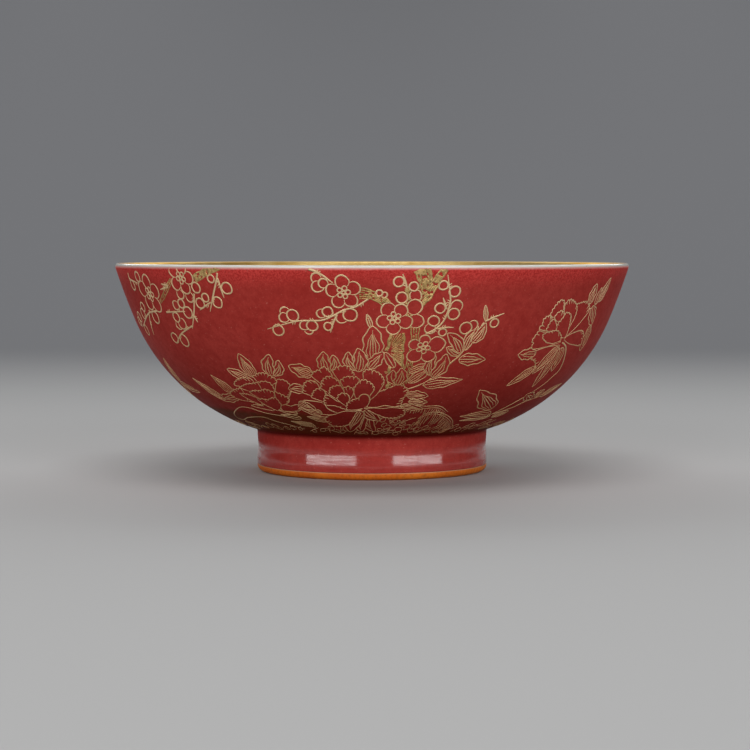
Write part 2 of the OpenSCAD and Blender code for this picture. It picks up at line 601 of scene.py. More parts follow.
def hidden(spot):
    """True if a spot lies inside an outline that is already drawn."""
    across, down = spot
    for low, high, route in covers:
        if not (low[0] < across < high[0] and low[1] < down < high[1]):
            continue
        within = False
        for (a1, d1), (a2, d2) in zip(route, route[1:] + route[:1]):
            if (d1 > down) != (d2 > down) and across < a1 + (down - d1) * (a2 - a1) / (d2 - d1):
                within = not within
        if within:
            return True
    return False


drawn_top = -0.8
plain_ends = (0.55, 0.3)
end_swell = 2.5
lip_fullness = 1.28
fullness_lost = 0.0065


def fullness(spot):
    """Share of its width that a line has here: the brush was fuller up at the lip."""
    return lip_fullness - fullness_lost * spot[1]


def draw(piece, route, wide=line_wide, ends=plain_ends, closed=False):
    """Adds a brush line to a piece, with what lies behind an outline left out."""
    shown = [spot[1] > drawn_top and not hidden(spot) for spot in route]
    lines = strokes.setdefault(piece, [])
    if closed and all(shown):
        lines.append((route, [wide * fullness(spot) for spot in route], True))
        return
    if closed:
        first = shown.index(False)
        route = route[first:] + route[: first + 1]
        shown = shown[first:] + shown[: first + 1]
    run = []
    for spot, seen in zip(route + [None], shown + [False]):
        if seen:
            run.append(spot)
            continue
        if len(run) > 2:
            last = len(run) - 1
            widths = [
                wide
                * fullness(run[i])
                * min(1, ends[0] + end_swell * (1 - ends[0]) * i / last)
                * min(1, ends[1] + end_swell * (1 - ends[1]) * (last - i) / last)
                for i in range(last + 1)
            ]
            lines.append((run, widths, False))
        run = []


def placed(around, down, size, turn=0):
    """Maps a motif's own right and up, in shares of its size, to spots. It turns clockwise."""
    across = math.cos(math.radians(turn))
    along = math.sin(math.radians(turn))

    def spot(x, y):
        right = size * (x * across + y * along)
        up = size * (y * across - x * along)
        return around + math.degrees(right / wall(down - up)[0][0]), down - up

    return spot


def between(base, tip):
    """Maps shares of the way from one spot to another, and of it to the right, to spots."""
    radius = wall((base[1] + tip[1]) / 2)[0][0]
    right = math.radians(tip[0] - base[0]) * radius
    up = base[1] - tip[1]
    return placed(*base, math.hypot(right, up), math.degrees(math.atan2(right, up)))


def bearing(route, at):
    """Degrees clockwise from up that a route runs in at one of its places."""
    start = route[max(at - 1, 0)]
    end = route[min(at + 1, len(route) - 1)]
    right = math.radians(end[0] - start[0]) * wall(start[1])[0][0]
    return math.degrees(math.atan2(right, start[1] - end[1]))


def wobble(share):
    """About 1, as much more or less as the share allows."""
    return 1 + random.uniform(-share, share)


def ring(centre, radius, count=8, waver=0.06):
    """Corners of a loop that is round but for the waver of a hand."""
    return [
        (
            centre[0] + radius * wobble(waver) * math.sin(math.tau * k / count),
            centre[1] + radius * wobble(waver) * math.cos(math.tau * k / count),
        )
        for k in range(count)
    ]


def loop(piece, spot, corners, wide=line_wide):
    """Draws a closed line through a motif's corners and covers what is behind it."""
    route = rounded([spot(*corner) for corner in corners], closed=True)
    draw(piece, route, wide, closed=True)
    cover(route)


def line(piece, spot, corners, wide=line_wide, ends=plain_ends):
    """Draws an open line through a motif's corners."""
    draw(piece, rounded([spot(*corner) for corner in corners]), wide, ends)


petal_turn = 72
petal_out = 0.63
petal_r = 0.39
stamen_turn = 20
stamen_out = 0.26
stamen_r = 0.135
stamen_line = 0.52
eye_r = 0.09
eye_line = 0.46


def blossom(around, down, size, turn, shares=(1, 1, 1, 1, 1)):
    """A plum blossom: an eye, a ring of stamens and five petals, each at a share of the size."""
    piece = "gold_blossoms"
    eye = placed(around, down, size, turn)
    loop(piece, eye, ring((0, 0), eye_r, 6), eye_line)
    for k in range(len(shares)):
        spot = placed(around, down, size, turn + petal_turn * k + stamen_turn)
        loop(piece, spot, ring((0, stamen_out), stamen_r, 6), stamen_line)
    for k, share in enumerate(shares):
        spot = placed(around, down, size * share * wobble(0.05), turn + petal_turn * k)
        loop(piece, spot, ring((0, petal_out), petal_r, 8, 0.08))


def bud(around, down, size):
    """A round bud."""
    loop("gold_buds", placed(around, down, size, random.uniform(0, 360)), ring((0, 0), 1, 8, 0.07))


twig_wide = 0.76
thorn_every = 12
thorn_line = 0.44


def twig(spots, wide=twig_wide, thorny=True):
    """A thin twig that tapers to its tip, with thorns in pairs."""
    piece = "gold_twigs"
    route = rounded(spots)
    draw(piece, route, wide, (1.0, 0.4))
    pairs = max(1, len(route) // thorn_every) if thorny else 0
    for k in range(pairs):
        at = int(len(route) * (k + 0.5) / (pairs + 0.3))
        side = random.choice((-1, 1))
        spot = placed(*route[at], 1, bearing(route, at))
        for gap in (-0.4, 0.4):
            thorn = [(-0.3 * side, gap - 0.2), (0.4 * side, gap), (1.0 * side, gap + 0.35)]
            line(piece, spot, thorn, thorn_line)


def beside(route, at, reach):
    """The spot so many millimetres to the right of a place on a route."""
    return placed(*route[at][:2], 1, bearing(route, at))(reach, 0)


bark_stroke = (5, 12)
bark_gap = (0.6, 3)


def bough(spots, widths, shares, wide, gaps):
    """A limb with bark: strokes along it, at shares of its width, broken towards its middle."""
    piece = "gold_boughs"
    route = rounded([spot + (width,) for spot, width in zip(spots, widths)])
    last = len(route)

    def strip(share, start, end):
        return [
            beside(route, i, share * route[i][2] * (1 + 0.08 * math.sin(0.8 * i + 5 * share)))
            for i in range(start, end)
        ]

    for share in shares:
        broken = gaps * (1 - abs(2 * share) ** 2)
        start = 0
        while start < last - 2:
            end = last if broken < 0.1 else min(last, start + random.randrange(*bark_stroke))
            draw(piece, strip(share, start, end), wide * wobble(0.15), (0.9, 0.75))
            start = end + round(random.uniform(*bark_gap) * broken)
    cover(strip(-0.5, 0, last) + strip(0.5, 0, last)[::-1])


def even(count):
    """Shares of a width from one edge to the other."""
    return [-0.5 + k / (count - 1) for k in range(count)]


fan_line = 0.48


def fan(focus, edge, count):
    """Hatching on bark that spreads from about a focus to an edge."""
    route = rounded(edge)
    for k in range(count):
        end = route[k * (len(route) - 1) // (count - 1)]
        near = random.uniform(0.25, 0.5)
        start = tuple(f + near * (e - f) for f, e in zip(focus, end))
        draw("gold_boughs", rounded([start, end]), fan_line * wobble(0.25), (0.4, 0.9))


leaf_rise = 0.6
leaf_steps = 16
leaf_line = 0.54
ripple = 0.05
ripple_turn = 17
lobe_deep = 0.13
rib_end = 0.88
rib_line = 0.48
vein_line = 0.4
vein_room = 3.1
wide_leaf = 5.1


def leaf(base, tip, width, taper=1.25, lobes=0, bend=0.0):
    """A leaf: its outline, which a long taper draws out at the tip, a midrib, and veins between."""
    piece = "gold_leaves"
    spot = between(base, tip)
    half = 0.5 * width / apart(base, tip)
    widest = leaf_rise / (leaf_rise + taper)
    peak = widest**leaf_rise * (1 - widest) ** taper
    phase = random.uniform(0, 6)

    def side(share, start=0.0, end=1.0, closing=0.0):
        way = []
        for k in range(leaf_steps + 1):
            t = start + (end - start) * k / leaf_steps
            swell = t**leaf_rise * (1 - t) ** taper / peak
            wave = math.sin(ripple_turn * t + phase + 2 * share)
            lobe = 1 + (ripple + lobe_deep * lobes) * wave
            out = share * (1 - closing * (k / leaf_steps) ** 2) * half * swell * lobe
            way.append(spot(out + bend * math.sin(math.pi * t), t))
        return rounded(way)

    left, right = side(-1), side(1)
    draw(piece, left, leaf_line, (0.7, 0.7))
    draw(piece, right, leaf_line, (0.7, 0.7))
    draw(piece, side(0, 0, rib_end), rib_line)
    pairs = 2 if width > wide_leaf else 1 if width > vein_room else 0
    for k in range(pairs):
        for share in (-(k + 1) / (pairs + 0.8), (k + 1) / (pairs + 0.8)):
            vein = side(share, random.uniform(0.05, 0.15), random.uniform(0.7, 0.85), 0.8)
            draw(piece, vein, vein_line, (0.8, 0.5))
    cover(left + right[::-1])


lobed_taper = 0.74
lobed_share = 0.5


def lobed_leaf(base, tip, width, lean):
    """A peony's leaf: a pointed blade, and a second one that folds out behind it on one side."""
    spot = between(base, tip)
    leaf(base, tip, 0.78 * width, lobed_taper, lobed_share, -0.09 * lean)
    fold, point = spot(0.1 * lean, 0.05), spot(0.34 * lean, 0.84)
    leaf(fold, point, 0.62 * width, lobed_taper, lobed_share, 0.14 * lean)


rim_step = 0.2
scallop_long = 1.4
scallop_high = 0.5
notched = 0.6
crown_line = 0.46
side_line = 0.4
side_bow = 0.12
notch_line = 0.36


def petal(spot, base, rim):
    """A peony petal: a rim in fine scallops, notched here and there, and sides down to its base."""
    piece = "gold_peonies"
    foot = spot(*base)
    edge = rounded([spot(*at) for at in rim], step=rim_step)
    along = [0.0]
    for start, end in zip(edge, edge[1:]):
        along.append(along[-1] + apart(start, end))
    scallops = max(2, round(along[-1] / scallop_long))
    turns = [math.pi * scallops * reach / along[-1] for reach in along]
    crown = []
    for at, turn in zip(edge, turns):
        share = 1 + scallop_high * abs(math.sin(turn)) / apart(foot, at)
        crown.append(tuple(f + share * (a - f) for f, a in zip(foot, at)))
    middle = edge[len(edge) // 2]
    sides = []
    for end in (crown[0], crown[-1]):
        bow = tuple((f + e) / 2 + side_bow * (e - m) for f, e, m in zip(foot, end, middle))
        sides.append(rounded([foot, bow, end]))
        draw(piece, sides[-1], side_line, (0.5, 1.0))
    draw(piece, crown, crown_line, (1.0, 1.0))
    for k in range(1, scallops):
        if random.random() > notched:
            continue
        at = next(i for i, turn in enumerate(turns) if turn >= math.pi * k)
        own = between(crown[at], foot)
        reach = random.uniform(0.3, 1.5) / apart(crown[at], foot)
        notch = [(0, 0), (0.1 * reach, 0.5 * reach), (0, reach)]
        line(piece, own, notch, notch_line, (1.0, 0.4))
    cover(sides[0] + crown + sides[1][::-1])


def peony(around, down, petals):
    """A peony seen from the side, its petals from the front to the back."""
    spot = placed(around, down, 1)
    for base, rim in petals:
        petal(spot, base, rim)


ridge_line = 0.52
under_gap = 1.2
under_line = 0.38
hatch_gap = 2
hatch_line = 0.4


def rock(ridge, depth, every):
    """A rock: its ridge, a second line under it, and hatching that shades the face below."""
    piece = "gold_rocks"
    route = rounded(ridge)
    draw(piece, route, ridge_line)
    draw(piece, [(around, down + under_gap) for around, down in route[3:-3]], under_line)
    at = 0.0
    for start, end in zip(route, route[1:]):
        at += apart(start, end)
        if at < every:
            continue
        at = 0.0
        drop = depth * random.uniform(0.5, 1.0)
        lean = random.uniform(-0.8, 0.4)
        top = start[1] + hatch_gap
        stroke = [(start[0] + lean * s, top + drop * s) for s in (0, 0.5, 1)]
        draw(piece, rounded(stroke), hatch_line * wobble(0.3), (0.7, 0.2))


pad = [(-0.9, 0), (-0.5, 1.5), (0.4, 1.6), (0.9, 0.2), (0.5, -1.5), (-0.5, -1.6)]
pad_line = 0.32
grass = [(-1.2, -2.2), (-0.1, 0.2), (1.2, 2.2)]
grass_line = 0.36


def moss(start, end, top, bottom, count):
    """Loops of moss, and short strokes of grass among them."""
    for k in range(count):
        around = start + (end - start) * (k + random.random()) / count
        spot = placed(around, random.uniform(top, bottom), wobble(0.3), random.uniform(-35, 35))
        if k % 4:
            loop("gold_rocks", spot, pad, pad_line)
        else:
            line("gold_rocks", spot, grass, grass_line)


# Plum blossoms, the twigs in front of the buds, and the buds.
for motif in [
    (4.8, 16, 5.7, 38),
    (11.8, 26.5, 5.8, 4, (0.75, 1.25, 1.05, 1.05, 0.85)),
    (-5.9, 7.2, 5.6, -6),
    (-44.3, 2.6, 5.6, 20),
    (-58.2, 8.6, 6.8, 4),
]:
    blossom(*motif)
for route in [
    [(12, 21.5), (14.5, 19.3), (16, 16), (16.7, 10.5), (16.1, 5.5), (15.5, 1.3)],
    [(16.1, 13), (15, 9)],
    [(14.5, 19.8), (16.5, 19.3), (18.3, 19.3)],
    [(7.3, 6.5), (6.9, 4), (6.2, 1)],
    [(25.6, 17.4), (27.5, 16), (30, 14.6)],
    [(-13, -0.8), (-10.5, 1), (-8, 4)],
    [
        (-0.8, 9.4), (-3.4, 12), (-6, 13.2), (-8.7, 15.4),
        (-11.3, 16.8), (-16, 17), (-20, 18.4), (-23.8, 20),
    ],
    [(-7.5, 14.8), (-8.4, 17.5), (-9.2, 21)],
    [(-33.6, 0.8), (-34.4, 4), (-38, 14.2)],
    [(-33.8, 2.6), (-33.2, 9.4)],
    [(-41.4, 8), (-43, 14.3), (-45.4, 20.6)],
    [(-43.6, 15.5), (-42.8, 18.2)],
    [(-45.2, 19.6), (-50.5, 22.8), (-54.2, 26.4)],
    [(-53.4, 15), (-46, 14.4)],
    [(-37.2, 11), (-41, 13.8)],
    [(-67.2, 1.3), (-67.2, 3.4), (-64.1, 4.5), (-61.2, 5.2)],
    [(-49.4, 5.9), (-52.8, 6.9)],
    [(-49.3, 5.5), (-51.8, 4.9)],
    [(-56, 14.6), (-59.6, 14.9), (-63.2, 16), (-68.8, 19.6), (-72.1, 21.1)],
    [(-62.6, 16), (-63.8, 19), (-65.2, 23.9)],
]:
    twig(route)
for motif in [
    (9.1, 12.2, 2.5), (9.6, 17, 2.4), (5.5, 3.6, 1.7), (8.6, 5.2, 1.5), (9.1, 8.2, 1.9),
    (6.2, 9, 1.8), (14.8, 4.8, 1.5), (17.4, 7, 1.8), (14.6, 12.6, 1.7), (17.8, 14.6, 1.9),
    (18.2, 12, 2), (13.5, 17, 1.8), (12.8, 19.6, 1.8), (15.8, 21, 1.3), (21.1, 19.6, 2),
    (22.8, 18.7, 1.7), (28, 18, 1.5), (-10, 4.2, 1.6), (-11.2, 5.2, 1.9), (-11.4, 2.4, 1.7),
    (-4.7, 14.8, 2.2), (-6.5, 15.8, 1.9), (-9.5, 13.8, 1.7), (-10.9, 14.4, 1.5), (-9.6, 18.8, 1.4),
    (-13.2, 18.6, 1.8), (-14.9, 18.6, 1.6), (-14, 20.2, 1.4), (-17.3, 15.2, 2), (-19.4, 15.9, 1.7),
    (-19, 14, 1.7), (-21.2, 20.4, 1.9), (1.5, 7.4, 1), (2.6, 8, 0.9), (-40.4, 6, 1.8),
    (-43.1, 9.2, 1.8), (-45.9, 8.4, 1.7), (-40.4, 11.4, 1.8), (-38.4, 9.4, 1.5), (-46.6, 11.7, 1.6),
    (-48.6, 12.3, 1.6), (-45.2, 14.8, 2.1), (-50, 16.6, 1.7), (-48.6, 18.8, 2), (-49.9, 19.4, 1.7),
    (-50.4, 25.2, 2.2), (-54, 24.4, 1.9), (-35.3, 11, 1.9), (-32, 6, 2), (-35.6, 2.8, 1.4),
    (-61.8, 2.6, 1.8), (-66.4, 5.6, 1.8), (-59.5, 17.1, 2.2), (-65, 13.5, 1.6), (-66.6, 16, 1.9),
    (-71, 17.4, 1.8), (-69.5, 22.2, 1.8), (-73, 19.2, 1.6),
]:
    bud(*motif)

# Peonies and their leaves, in front of the plum's old wood. A petal is given by its base and its
# rim, in millimetres right and up from a spot in the flower.
curl = [
    (-1, 4.4), (-0.8, 6.4), (0.4, 7.6), (1.8, 7.2), (2.5, 5.7), (2.3, 3.5), (1.6, 1.6), (0.8, 0.6),
]
flower = (-2.8, 53.8)
front = placed(*flower, 1)
line("gold_peonies", front, curl)
cover([front(*at) for at in curl + [(-1.6, 0)]])
line("gold_peonies", front, [(1, 0.8), (4.5, 0.6), (7.3, 1.6), (10, 0.9), (13.4, 1.1)])
peony(
    *flower,
    [
        ((0, 0), [(-4.9, -1), (-4.9, 1.4), (-4.3, 3.3), (-2.3, 4.7), (-0.8, 5.3)]),
        ((-3.5, 0), [(-8, 4.6), (-7.4, 6.8), (-5.9, 7.8), (-4.3, 6.8), (-4, 4)]),
        ((-5, 1.5), [(-4.9, -1), (-8.6, 1.3), (-11.9, 1.8), (-12.1, 4.9), (-11, 6.8), (-8, 3.8)]),
        ((-5, 4), [(-10.4, 7), (-10, 10), (-8.8, 11.1), (-6.9, 11.4), (-5.9, 9.8), (-5.6, 8)]),
        ((-4, 5), [(-6, 10), (-4.4, 11), (-3, 10), (-2.6, 8.2)]),
        ((0, 2), [(-2.6, 8.4), (-2, 11), (0.4, 14), (2.2, 13.4), (3.5, 12), (4, 9.8), (2.9, 7.5)]),
        ((-9, 3), [(-16.5, 5.5), (-15.6, 8.4), (-14, 9.9), (-12.2, 9.2), (-11.6, 6.8)]),
        ((-7, 7), [(-13, 9.9), (-12.5, 13.5), (-10.7, 15.4), (-8.9, 14.9), (-7, 13)]),
        ((-4, 8), [(-6.7, 13.5), (-5, 15.2), (-3.3, 15.4), (-1.4, 15.1), (-0.6, 13.6)]),
        ((2.5, 4.5), [(0.7, 16.8), (1.9, 18.4), (4.2, 18), (6, 16.8), (7.2, 14.4), (7, 11.8)]),
        ((-10, 5), [(-19.3, 7.8), (-18.6, 12), (-16.8, 13.5), (-14.6, 12.8), (-13.4, 10)]),
        ((-9, 10), [(-15.9, 15.3), (-15.4, 17), (-13.4, 18.2), (-11.5, 19.4), (-9.4, 16.4)]),
        ((-5, 12), [(-9, 17.5), (-7.5, 19.4), (-5.4, 19.9), (-3.6, 19.5), (-2.2, 16.2)]),
        (
            (1.5, 0.8),
            [(5.3, 8.4), (8.6, 10.4), (11.3, 11.8), (13.7, 11), (14.7, 8.6), (13, 5), (12.2, 1.4)],
        ),
        ((1, 0), [(1.5, -0.8), (4.8, -4), (8, -6), (11.4, -5.9), (13.3, -3.7), (13.4, -0.2)]),
        (
            (-3, -2),
            [
                (-9.3, -3.8), (-12, -5.3), (-12.5, -8), (-10.6, -12),
                (-8, -12.6), (-5, -10.6), (-2.7, -4),
            ],
        ),
    ],
)
for fold in [
    [(-19.6, 4.2), (-13.3, 3), (-11.6, -0.3), (-9.2, -2.4), (-5.5, -3.2), (0, -0.2)],
    [(-19.6, 4.2), (-18.5, 1.5), (-16, -1.5), (-13.5, -4), (-9.5, -4)],
]:
    line("gold_peonies", front, fold)
for plant in [
    ((-3.4, 55), (-8.2, 71.8), 5.4),
    ((-2.2, 55), (2.4, 62), 4.6),
    ((-2.8, 55), (-4, 71.8), 4.6),
    ((-2.4, 55.5), (0.6, 71.5), 4.6),
    ((-21.6, 50.5), (-17.5, 55), 4),
    ((-18.4, 44.2), (-23, 44), 4.6),
]:
    leaf(*plant, 0.8, 0, 0.05)
peony(
    -26,
    57.4,
    [
        ((-5.5, 1), [(-10.7, 7), (-8.4, 7.4), (-6.6, 7), (-4.5, 8.1), (-3, 8), (-2.5, 4.6)]),
        ((-7, 0.8), [(-15.2, 3.2), (-12.4, 4.3), (-10.5, 3.8), (-8.4, 4.8), (-7.2, 3.8)]),
        (
            (-6, 5),
            [(-12.3, 10.8), (-9.7, 11.7), (-7.8, 11.6), (-5.4, 12.4), (-3.8, 11.8), (-2.5, 11)],
        ),
        ((-10.4, 4), [(-15.5, 7.8), (-16.8, 9.8), (-14, 9.6), (-12, 8.8), (-10.4, 7.5)]),
        ((-2.5, 4.6), [(-2.3, 11.6), (-0.2, 10.2), (1.6, 8.2), (0.6, 6)]),
        ((-7.5, 10.4), [(-15.7, 12.8), (-13.4, 14), (-11.3, 14.8), (-9, 15.1), (-7, 15.7)]),
        ((-6.4, 9.4), [(-7.4, 15.4), (-5, 16.2), (-2.9, 15.9), (-2, 14.5), (-2.1, 12)]),
        ((-9, 14.6), [(-17, 13.8), (-16.8, 15.2), (-14.8, 16.7), (-12.7, 17.5), (-9, 17.4)]),
        ((-5, 14.8), [(-7.8, 18.4), (-5.4, 19.6), (-3.7, 20), (-2.3, 19.7), (0, 17.8), (0.1, 16)]),
        ((-2.5, 7.4), [(0.9, 17.4), (3.4, 17), (4.5, 15.2), (4.4, 12.8), (1.7, 8.7)]),
        ((-15.5, 6), [(-15.4, 12.4), (-19, 11.4), (-21.7, 9.4), (-20.9, 7.4)]),
        ((-3, 1), [(-2.8, 4), (-0.9, 4.8), (0.6, 4), (3.5, 5), (3, 1.5)]),
    ],
)
for plant in [
    ((-10.9, 36.5), (-11.3, 28), 5.4, 1),
    ((-3.4, 36), (-3.2, 26.6), 5.6, -1),
    ((-26.6, 38.5), (-24.9, 29.4), 5.4, 1),
    ((6.5, 42), (7.3, 34.4), 5, -1),
    ((15.3, 38.6), (17.8, 29), 5.8, -1),
]:
    lobed_leaf(*plant)
for plant in [
    ((-31.8, 39.2), (-33.6, 29.4), 5.2, 0.8),
    ((-34, 40), (-39.6, 36), 4, 0.8),
    ((-15, 37.6), (-20.8, 33.8), 5.2, 0.8, 0.5),
    ((-0.8, 34.6), (2.7, 28), 4, 0.8, 0.5),
    ((0.3, 31.6), (0.1, 18.6), 6.4, 0.7, 0.4),
    ((-0.1, 19.4), (-1.1, 14.6), 1.5, 0.8),
    ((-43, 47.6), (-47.4, 39), 4.4),
    ((-50, 51.6), (-58.2, 41.2), 4),
    ((-43, 49.5), (-52, 51.4), 4.4, 0.7, 0.5),
    ((9.3, 40.8), (15.1, 33.9), 3.6, 0.9),
    ((9.2, 36.4), (14.1, 32.8), 3.2, 0.9),
    ((13.4, 42), (24, 39.7), 4.6, 1.1, 0.3),
    ((9.4, 46.4), (15.7, 47.3), 4, 0.8, 0.5),
    ((21.1, 31.2), (28.3, 31.5), 4.6, 0.9, 0.4),
    ((21.3, 28.7), (17, 21.3), 4, 0.75, 0, 0.08),
    ((21, 29.4), (17.3, 26.5), 3.2, 0.9),
    ((23.5, 25), (25.9, 17.8), 3.5, 0.9, 0, 0.08),
    ((21.9, 27.8), (24.2, 19), 3.4, 0.9, 0, -0.08),
    ((25.8, 17.4), (24.9, 11.7), 1.4, 0.8),
    ((10.5, 50), (16.2, 50.6), 3.4, 0.9, 0.5),
    ((8.4, 52.4), (15.6, 54.4), 3.4, 0.9, 0.5),
    ((41.2, 56), (30.1, 45), 6.4, 1.0, 0.5),
    ((43.4, 59.4), (30.7, 60.1), 5),
    ((44.6, 61), (32.6, 63.4), 3.4),
    ((46, 61.6), (52.2, 58.6), 3.6, 0.7, 0.5),
    ((57, 51.8), (51.6, 48.8), 4.2, 0.7, 0.5),
    ((58.6, 51), (60, 47), 4, 0.7, 0.5),
    ((62, 50.6), (71.2, 45), 3.8),
    ((57.2, 12.4), (58, 5), 4.2, 0.7, 0.5),
    ((62, 11.6), (64.8, 3), 3.8, 0.9),
    ((60.6, 12.6), (61.2, 6.4), 3, 0.8),
    ((43.4, 30), (37.6, 30), 4.4, 0.7, 0.5),
    ((46, 35.4), (39.6, 43.6), 3.8, 0.9),
    ((51, 27.5), (46.6, 38.6), 4.4, 0.9),
    ((51.6, 28), (51, 45), 4.6, 0.9),
    ((53, 28), (54.6, 38), 4.4, 0.9),
    ((59.6, 13), (63, 20), 4.6, 0.7, 0.5),
    ((62.6, 20), (64, 30), 4.6, 0.7, 0.5),
    ((-72, 44.4), (-68.8, 33.4), 4.4, 0.9, 0.5),
    ((-73, 45), (-62.4, 48.8), 4, 0.9, 0.5),
    ((-76.6, 52), (-87, 46.4), 4.6, 0.9, 0.5),
    ((-80.5, 56.4), (-91, 54), 3.8, 0.9, 0.4),
    ((-24.4, 57.6), (-31, 56), 2.8),
    ((-24.4, 61), (-31.4, 58.6), 2.8),
    ((-21.6, 66.5), (-30, 63.4), 3.4),
    ((-16, 57.5), (-23, 54), 4),
    ((-14.6, 62), (-22, 59.6), 4),
]:
    leaf(*plant)
peony(
    51.5,
    25.6,
    [
        (
            (-2.3, 0),
            [
                (-7.6, -0.3), (-10.6, 1.3), (-11.4, 2.8), (-9.5, 3.7),
                (-5.5, 4), (-3.2, 2.9), (-1.6, 1.4),
            ],
        ),
        (
            (0.2, 1.3),
            [(-5.5, 4), (-6.2, 6.3), (-4.6, 8.6), (-3.9, 10.2), (-2.2, 10.2), (-0.2, 8.7), (0.9, 4)],
        ),
        ((-5.5, 4), [(-10.8, 4.3), (-10.7, 6.1), (-10, 7.7), (-8.7, 8.2)]),
        ((-5.7, 7.4), [(-9, 8.6), (-8.6, 10), (-7, 11), (-5, 10.2), (-4.8, 8.8)]),
        (
            (-9.9, 4.6),
            [(-10.8, 4.3), (-14.5, 5.1), (-13.8, 6.5), (-14, 8.3), (-12, 9.5), (-10.3, 8.2)],
        ),
        (
            (-7.9, 9.6),
            [(-11.4, 9.7), (-11.3, 11.4), (-10.5, 13), (-9.3, 14.6), (-7.2, 14.5), (-6.2, 11.3)],
        ),
        (
            (-0.6, 4.3),
            [(-6, 13), (-5, 14.5), (-3.6, 15), (-0.8, 14), (1.3, 12.2), (2, 10), (1.7, 7.5)],
        ),
        ((0.2, 1.3), [(0.7, 13.3), (2.4, 13.6), (4, 13.9), (6.8, 13.9), (9.3, 12.4), (10, 10.2)]),
        ((-0.6, -0.2), [(-14.2, 4.4), (-15, 2.6), (-15.5, 0.7), (-14.4, -0.4), (-14.9, -2.7)]),
        (
            (-0.3, -1.3),
            [(-13.6, -3.9), (-12.3, -6), (-9, -7.4), (-6.5, -10), (-3, -10), (-1.4, -8)],
        ),
        ((0.7, 0.6), [(4.6, 3), (10.5, 3.6), (14, 0.7), (14, -2), (10, -1.8)]),
    ],
)
stem_wide = 0.75
for route in [
    [
        (8.5, 44.2), (12.6, 41.8), (17.1, 36.6), (19.5, 32.2),
        (21.1, 29.5), (23.6, 22.8), (25.4, 17.6),
    ],
    [(51.8, 26), (55, 28.6), (58.6, 37), (57.6, 41), (55, 46), (44, 60)],
    [(44, 60), (51, 56.6), (56.5, 52.6), (66, 50)],
    [(58.2, 14.2), (60.4, 12.8), (62.4, 10.8)],
    [(-38, 52), (-44, 50), (-48, 50)],
    [(-72.4, 44.6), (-76, 51), (-82, 58), (-88, 66)],
]:
    twig(route, stem_wide, thorny=False)

# The plum's boughs, and its split trunk, with a leaf before it and two fans of hatching. A limb is
# given by its spots, its widths there, the shares of its width at which strokes run along it, the
# width of the strokes, and how broken they are.
for limb in [
    (
        [(-40.2, 3), (-38, 1.5), (-35.6, 0.2), (-32.8, -0.8)],
        [2.4, 2.3, 1.8, 1],
        even(5),
        0.75,
        0.3,
    ),
    (
        [(-47.6, 3.4), (-49.9, 6.3), (-52.9, 9.9), (-54.6, 11.4)],
        [1.2, 1.4, 1.2, 0.8],
        even(3),
        0.5,
        0.6,
    ),
    (
        [(4, 12), (2.4, 10.2), (1, 8.8), (-0.8, 7.7), (-2.7, 7.6)],
        [1.8, 2.5, 2.4, 3, 3.8],
        even(6),
        0.66,
        0.3,
    ),
    ([(8, 11), (7.6, 8.6), (7.2, 5.6)], [2.4, 1.5, 0.8], even(3), 0.9, 0),
    ([(14.9, -0.8), (13.8, 1.9), (12.9, 4.5), (12, 7)], [2, 2, 2.4, 2.6], even(5), 0.75, 0.3),
    (
        [(9.9, -0.8), (10.6, 1.5), (11.2, 4), (11.3, 6.3), (10.4, 8.7), (9.2, 11.2), (7.5, 15)],
        [4.8, 4.3, 4.3, 5, 4.8, 4.3, 4],
        even(10),
        0.85,
        0.9,
    ),
    (
        [(9.4, 18), (9.5, 20), (9.6, 23), (9.4, 28), (9, 32.8), (8.5, 36.6), (7.8, 41)],
        [3, 2.6, 2.2, 2, 2, 2, 2.4],
        even(4),
        0.55,
        0.3,
    ),
]:
    bough(*limb)
leaf((5.4, 34.4), (2.9, 28.2), 2.6, 0.7)
fan((3.3, 28), [(4.2, 21.5), (5.8, 21.3), (7.2, 22), (7.2, 27), (7, 30), (7.4, 34)], 20)
fan((5.2, 36), [(3, 36), (4.4, 42), (7.4, 42), (7.6, 36)], 15)
bough(
    [(5.6, 21), (5.4, 25.7), (5.1, 28.5), (5.6, 31.8), (5.9, 36), (6, 43)],
    [4.6, 5.2, 5.5, 4.8, 4.8, 5.4],
    [-0.5, -0.4, 0.38, 0.45, 0.5],
    0.62,
    0.4,
)

# A scroll of cloud, rocks, and moss and grass along the ground.
scroll = [
    (-24.9, 60.7), (-30.5, 59.8), (-37, 58.3), (-42, 55.6), (-46, 55.4), (-51, 57.8), (-56, 61),
    (-58.6, 64.3), (-55.3, 65), (-49.7, 62.8), (-41, 61.4), (-37, 64), (-32, 66.8), (-27.6, 70),
]
draw("gold_rocks", rounded(scroll))
rock([(15.5, 61), (17, 57.8), (20, 56.5), (24, 58), (28.8, 62.4), (33, 69)], 8, 0.7)
rock([(6.6, 55), (11.2, 52), (16, 52.8), (20.7, 53), (24.7, 56.7)], 4, 0.8)
for patch in [
    (2, 17, 60, 70, 24),
    (-24, -9, 66, 72, 10),
    (-8, 12, 71, 74, 12),
    (14, 34, 68, 73, 16),
    (36, 56, 66, 72, 12),
    (-48, -24, 68, 72, 10),
    (-98, -48, 67, 73, 22),
    (56, 82, 67, 73, 12),
]:
    moss(*patch)


